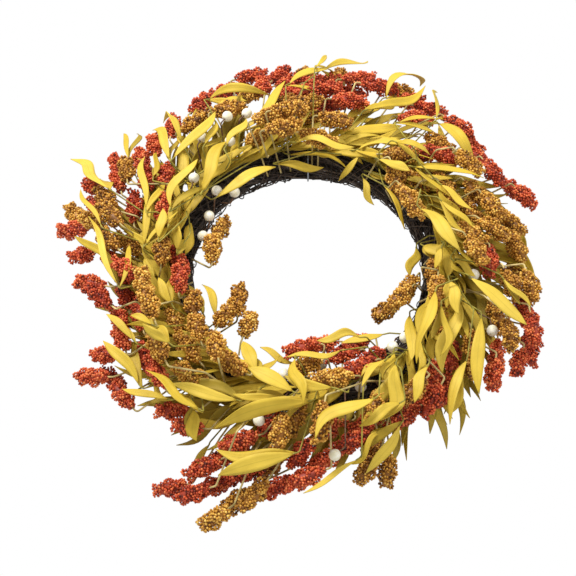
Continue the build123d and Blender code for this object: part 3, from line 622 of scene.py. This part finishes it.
# The leaves are cut from thin satin leaf cloth, pressed warm so that each has a folded midrib,
# soft wavy edges and a curled tip, then glued on their stems. Smaller ones fill in between.
leaf_rows = 16
leaf_columns = 4
leaf_thickness = 0.0006
widest_share = 0.48
fullness = 0.9
foot_width_share = 0.08
thinnest_share = 0.04
small_leaf_bow = 0.07
stem_leaf_step = 5
outward_leaves = 2
inward_leaves = 1
back_leaves = 3
leaf_roll = (-35, 35)
front_rise = (-6, 26)
# Stem leaves lie under the CAD leaves: random tone within a lower range, which is painted shade.
stem_leaf_painted_shade = (0, 0.55)
front_length = (0.045, 0.08)
front_width = (0.008, 0.012)
back_lean = (16, 58)
back_rise = (-2, 14)
# Back leaves sit behind the heads: random tone within the darkest range, which is painted shade.
back_leaf_painted_shade = (-0.15, 0.2)
back_length = (0.06, 0.095)
back_width = (0.009, 0.014)
back_reach = (0.002, 0.034)
back_depth = (-0.014, 0.002)
hanger_room = 0.052
door_room = 0.001
berry_depth = 0.01
berry_room = 0.009
bare_above = 0.013
bare_below = 0.03

bpy.ops.object.select_all(action="DESELECT")
bpy.ops.mesh.primitive_grid_add(x_subdivisions=leaf_rows, y_subdivisions=leaf_columns, size=2)
leaf_pattern = bpy.context.object
leaf_grid = mesh_points(leaf_pattern.data)
leaf_faces = np.array([list(p.vertices) for p in leaf_pattern.data.polygons])
bpy.data.objects.remove(leaf_pattern)
leaf_along = (leaf_grid[:, 0] + 1) / 2
leaf_across = leaf_grid[:, 1]


def leaf_place(points):
    """A leaf's foot, its axes, length, width and bow, read from its CAD blade."""
    middle = points.mean(axis=0)
    along = np.linalg.svd(points - middle, full_matrices=False)[2][0]
    heights = (points - middle) @ along
    ends = [points[heights < heights.min() + 0.0003], points[heights > heights.max() - 0.0003]]
    spans = [np.linalg.norm(e[:, None] - e[None], axis=2).max() for e in ends]
    foot, tip = ends if spans[0] > spans[1] else ends[::-1]
    along = unit(tip.mean(axis=0) - foot.mean(axis=0))
    side = np.linalg.svd(foot - foot.mean(axis=0), full_matrices=False)[2][0]
    side = unit(side - along * (side @ along))
    face = np.cross(along, side)
    if (points.mean(axis=0) - (foot.mean(axis=0) + tip.mean(axis=0)) / 2) @ face < 0:
        face = -face
    side = np.cross(face, along)
    from_foot = points - foot.mean(axis=0)
    length = np.linalg.norm(tip.mean(axis=0) - foot.mean(axis=0))
    width, rise = np.ptp(from_foot @ side), (from_foot @ face).max()
    return foot.mean(axis=0), along, side, face, length, width, rise


def leaf_shape(rng, length, width, rise):
    """One pressed leaf, foot at the origin, running along the first axis, bowed to the third."""
    u, v = leaf_along, leaf_across
    before = np.clip((widest_share - u) / widest_share, 0, 1)
    after = np.clip((u - widest_share) / (1 - widest_share), 0, 1)
    half = np.where(u < widest_share, 1 - (1 - foot_width_share) * before**1.8, 1 - after**2.3)
    half = np.maximum(half, thinnest_share) * width / 2
    sabre = rng.normal(0, 0.055) * length
    swerve = rng.normal(0, 0.045) * length
    curl = rng.normal(0, 0.28) * length
    twist = rng.normal(0, 0.55)
    fold = rng.uniform(0.03, 0.22)
    waves = rng.uniform(0.02, 0.09) * width
    phase = rng.uniform(0, 6.3, 2)
    turn = twist * (u - 0.15) + 0.1 * np.sin(5 * u + phase[0])
    across = half * v
    raised = fold * half * np.abs(v) ** 1.3
    raised = raised + waves * v**2 * np.sin(9 * u + phase[1] + (v > 0)) * np.sin(math.pi * u)
    cupped = 1 - 0.06 * v**2
    x = u * length
    y = across * cupped * np.cos(turn) - raised * np.sin(turn) + sabre * 4 * u * (1 - u)
    y = y + swerve * np.sin(2 * math.pi * u)
    z = across * np.sin(turn) + raised * np.cos(turn) + 4 * rise * u * (1 - u)
    z = z + curl * np.clip(u - 0.6, 0, 1) ** 2
    return np.stack([x, y, z], axis=1)


leaf_material = bpy.data.materials.new("leaf_cloth")
leaf_material.use_nodes = True
leaf_nodes = leaf_material.node_tree.nodes
join = leaf_material.node_tree.links.new
leaf_shader = leaf_nodes["Principled BSDF"]
leaf_shader.inputs["Roughness"].default_value = 0.55
leaf_shader.inputs["Specular IOR Level"].default_value = 0.3
leaf_uv = leaf_nodes.new("ShaderNodeUVMap")
leaf_uv.uv_map = "along"
# Leaf values are random tone plus painted shade: leaves under and behind others are darker.
leaf_random_and_painted_shade = leaf_nodes.new("ShaderNodeAttribute")
leaf_random_and_painted_shade.attribute_name = "shade"
vein_stretch = leaf_nodes.new("ShaderNodeMapping")
vein_stretch.inputs["Scale"].default_value = (5, 42, 1)
veins = leaf_nodes.new("ShaderNodeTexNoise")
veins.inputs["Scale"].default_value = 1
veins.inputs["Detail"].default_value = 3
leaf_group = leaf_nodes.new("ShaderNodeGroup")
leaf_group.node_tree = mottle
leaf_group.inputs["Scale"].default_value = 45
leaf_group.inputs["Fine Scale"].default_value = 1400
leaf_group.inputs["Dark"].default_value = colour(150, 126, 34)
leaf_group.inputs["Light"].default_value = colour(214, 186, 70)
# This ramp turns those values into colour, painted shade included.
leaf_ramp_with_painted_shade = leaf_nodes.new("ShaderNodeValToRGB")
leaf_ramp_with_painted_shade.color_ramp.elements[0].color = colour(124, 102, 16)
leaf_ramp_with_painted_shade.color_ramp.elements[1].color = colour(230, 198, 74)
leaf_mid = leaf_ramp_with_painted_shade.color_ramp.elements.new(0.5)
leaf_mid.color = colour(214, 180, 50)
leaf_sum = leaf_nodes.new("ShaderNodeMath")
leaf_sum.operation = "MULTIPLY_ADD"
leaf_sum.inputs[1].default_value = 0.3
leaf_mix = leaf_nodes.new("ShaderNodeMix")
leaf_mix.data_type = "RGBA"
leaf_mix.inputs["Factor"].default_value = 0.3
split_uv = leaf_nodes.new("ShaderNodeSeparateXYZ")
rib = leaf_nodes.new("ShaderNodeMath")
rib.operation = "SUBTRACT"
rib.inputs[1].default_value = 0.5
rib_size = leaf_nodes.new("ShaderNodeMath")
rib_size.operation = "ABSOLUTE"
rib_mask = leaf_nodes.new("ShaderNodeMapRange")
rib_mask.inputs["From Min"].default_value = 0.015
rib_mask.inputs["From Max"].default_value = 0.05
rib_mask.inputs["To Min"].default_value = 0.22
rib_mask.inputs["To Max"].default_value = 0.0
rib_mix = leaf_nodes.new("ShaderNodeMix")
rib_mix.data_type = "RGBA"
rib_mix.inputs["B"].default_value = colour(150, 136, 36)
leaf_relief = leaf_nodes.new("ShaderNodeBump")
leaf_relief.inputs["Strength"].default_value = 0.35
leaf_relief.inputs["Distance"].default_value = 0.0006
join(leaf_uv.outputs["UV"], vein_stretch.inputs["Vector"])
join(vein_stretch.outputs["Vector"], veins.inputs["Vector"])
join(veins.outputs["Fac"], leaf_sum.inputs[0])
join(leaf_random_and_painted_shade.outputs["Fac"], leaf_sum.inputs[2])
join(leaf_sum.outputs["Value"], leaf_ramp_with_painted_shade.inputs["Fac"])
join(leaf_ramp_with_painted_shade.outputs["Color"], leaf_mix.inputs["A"])
join(leaf_group.outputs["Color"], leaf_mix.inputs["B"])
join(leaf_uv.outputs["UV"], split_uv.inputs["Vector"])
join(split_uv.outputs["Y"], rib.inputs[0])
join(rib.outputs["Value"], rib_size.inputs[0])
join(rib_size.outputs["Value"], rib_mask.inputs["Value"])
join(rib_mask.outputs["Result"], rib_mix.inputs["Factor"])
join(leaf_mix.outputs["Result"], rib_mix.inputs["A"])
join(rib_mix.outputs["Result"], leaf_shader.inputs["Base Color"])
join(veins.outputs["Fac"], leaf_relief.inputs["Height"])
join(leaf_relief.outputs["Normal"], leaf_shader.inputs["Normal"])

pivot = np.array(frame["joints"][0]["pos_m"])
facing = np.array(toward_camera)
berry_middles = np.vstack([
    [(p.min(axis=0) + p.max(axis=0)) / 2 for p, _ in solids_of(f"berry_pick_{pick}_berries")]
    for pick in range(1, 4)])


def is_free(blade):
    """True where a leaf clears the door, the berries and the bare inner side of the base."""
    if blade[:, 1].max() > cad_box[1][1] - door_room:
        return False
    between = blade[:, None] - berry_middles[None]
    ahead = between @ facing
    aside = np.linalg.norm(between - ahead[..., None] * facing, axis=2)
    if ((ahead > -berry_depth) & (aside < berry_room)).any():
        return False
    outward = np.hypot(blade[:, 0] - base_centre[0], blade[:, 2] - base_centre[2]) - base_radius
    bare = np.where(blade[:, 2] > base_centre[2] + 0.03, bare_above, bare_below)
    return bool((outward > -bare).all())


def stem_leaves(rng, spray):
    """The leaves that grow from a spray's main stem and follow the base clockwise."""
    best = None
    for stem_points, _ in solids_of(f"leaf_spray_{spray}_stems"):
        across = stem_points - base_centre
        off = np.abs(np.hypot(across[:, 0], across[:, 2]) - base_radius).max()
        if best is None or off < best[0]:
            best = (off, across)
    across = best[1]
    clocks = np.degrees(np.arctan2(across[:, 0], across[:, 2])) % 360
    if np.ptp(clocks) > 180:
        clocks = (clocks + 180) % 360 + 180
    stem_forward = across[:, 1].mean()
    found = []
    for clock in np.arange(clocks.min(), clocks.max(), stem_leaf_step):
        for way, behind in ([(1, False)] * outward_leaves + [(-1, False)] * inward_leaves
                            + [(1, True)] * back_leaves):
            turn = math.radians(clock + rng.uniform(0, stem_leaf_step))
            outward = np.array([math.sin(turn), 0, math.cos(turn)])
            onward = np.array([math.cos(turn), 0, -math.sin(turn)])
            lean = way * math.radians(rng.uniform(0, 50 if way > 0 else 20))
            rise = math.radians(rng.uniform(*front_rise))
            # The lower ranges of the stem and back leaves are painted shade.
            shade = rng.uniform(*stem_leaf_painted_shade)
            own_length, own_width = rng.uniform(*front_length), rng.uniform(*front_width)
            if behind:
                lean = math.radians(rng.uniform(*back_lean))
                rise = math.radians(rng.uniform(*back_rise))
                shade = rng.uniform(*back_leaf_painted_shade)
                own_length, own_width = rng.uniform(*back_length), rng.uniform(*back_width)
            along = onward * math.cos(lean) + outward * math.sin(lean)
            along = along * math.cos(rise) + np.array([0, -math.sin(rise), 0])
            roll = math.radians(rng.uniform(*leaf_roll))
            face = unit(np.array([0, -1.0, 0]) + along * along[1])
            side = np.cross(face, along)
            face, side = (face * math.cos(roll) + side * math.sin(roll),
                          side * math.cos(roll) - face * math.sin(roll))
            foot = base_centre + base_radius * outward + [0, stem_forward - 0.0015, 0]
            if behind:
                foot = base_centre + (base_radius + rng.uniform(*back_reach)) * outward
                foot = foot + [0, rng.uniform(*back_depth), 0]
            shape = leaf_shape(rng, own_length, own_width, small_leaf_bow * own_length)
            blade = foot + shape @ np.stack([along, side, face])
            if is_free(blade):
                found.append((blade, shade))
    return found


rng = np.random.default_rng(11)
for spray in range(1, 9):
    points, faces, shades, uvs, laid = [], [], [], [], []
    for solid_points, _ in solids_of(f"leaf_spray_{spray}_leaves"):
        foot, along, side, face, length, width, rise = leaf_place(solid_points)
        shape = leaf_shape(rng, length, width * fullness, rise)
        # CAD leaves lie on top with the lightest range; the lower ranges under them are painted
        # shade.
        laid.append((foot + shape @ np.stack([along, side, face]), rng.uniform(0.3, 0.8)))
        splay = -math.radians(rng.uniform(4, 26))
        pitch = math.radians(rng.uniform(4, 22))
        beside = along * math.cos(splay) + side * math.sin(splay)
        beside = beside * math.cos(pitch) - face * math.sin(pitch)
        beside_face = unit(face - beside * (face @ beside))
        beside_axes = np.stack([beside, np.cross(beside_face, beside), beside_face])
        own_length = min(length, 0.08) * rng.uniform(0.65, 1.1)
        own_width = max(width, 0.010) * rng.uniform(0.65, 0.9)
        shape = leaf_shape(rng, own_length, own_width, small_leaf_bow * own_length)
        own_foot = foot - face * rng.uniform(0.0008, 0.002) - along * rng.uniform(0, 0.007)
        blade = own_foot + shape @ beside_axes
        # The companion sits under its leaf: random tone within a darker range, which is painted
        # shade.
        shade = rng.uniform(0.0, 0.5)
        if is_free(blade):
            laid.append((blade, shade))
    laid += stem_leaves(rng, spray)
    for blade, shade in laid:
        if np.linalg.norm(blade - pivot, axis=1).min() > hanger_room:
            faces.append(leaf_faces + len(points) * len(leaf_grid))
            points.append(blade)
            shades.append(np.full(len(leaf_grid), shade))
            uvs.append(np.stack([leaf_along, leaf_across / 2 + 0.5], axis=1))
    piece = piece_of(f"leaf_spray_{spray}_blades", np.vstack(points), np.vstack(faces),
                     leaf_material, {"shade": np.concatenate(shades)}, np.vstack(uvs))
    sheet = piece.modifiers.new("thickness", "SOLIDIFY")
    sheet.thickness = leaf_thickness
    sheet.offset = 0
    bpy.ops.object.select_all(action="DESELECT")
    bpy.context.view_layer.objects.active = piece
    piece.select_set(True)
    bpy.ops.object.modifier_apply(modifier="thickness")
    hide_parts(f"leaf_spray_{spray}_leaves")
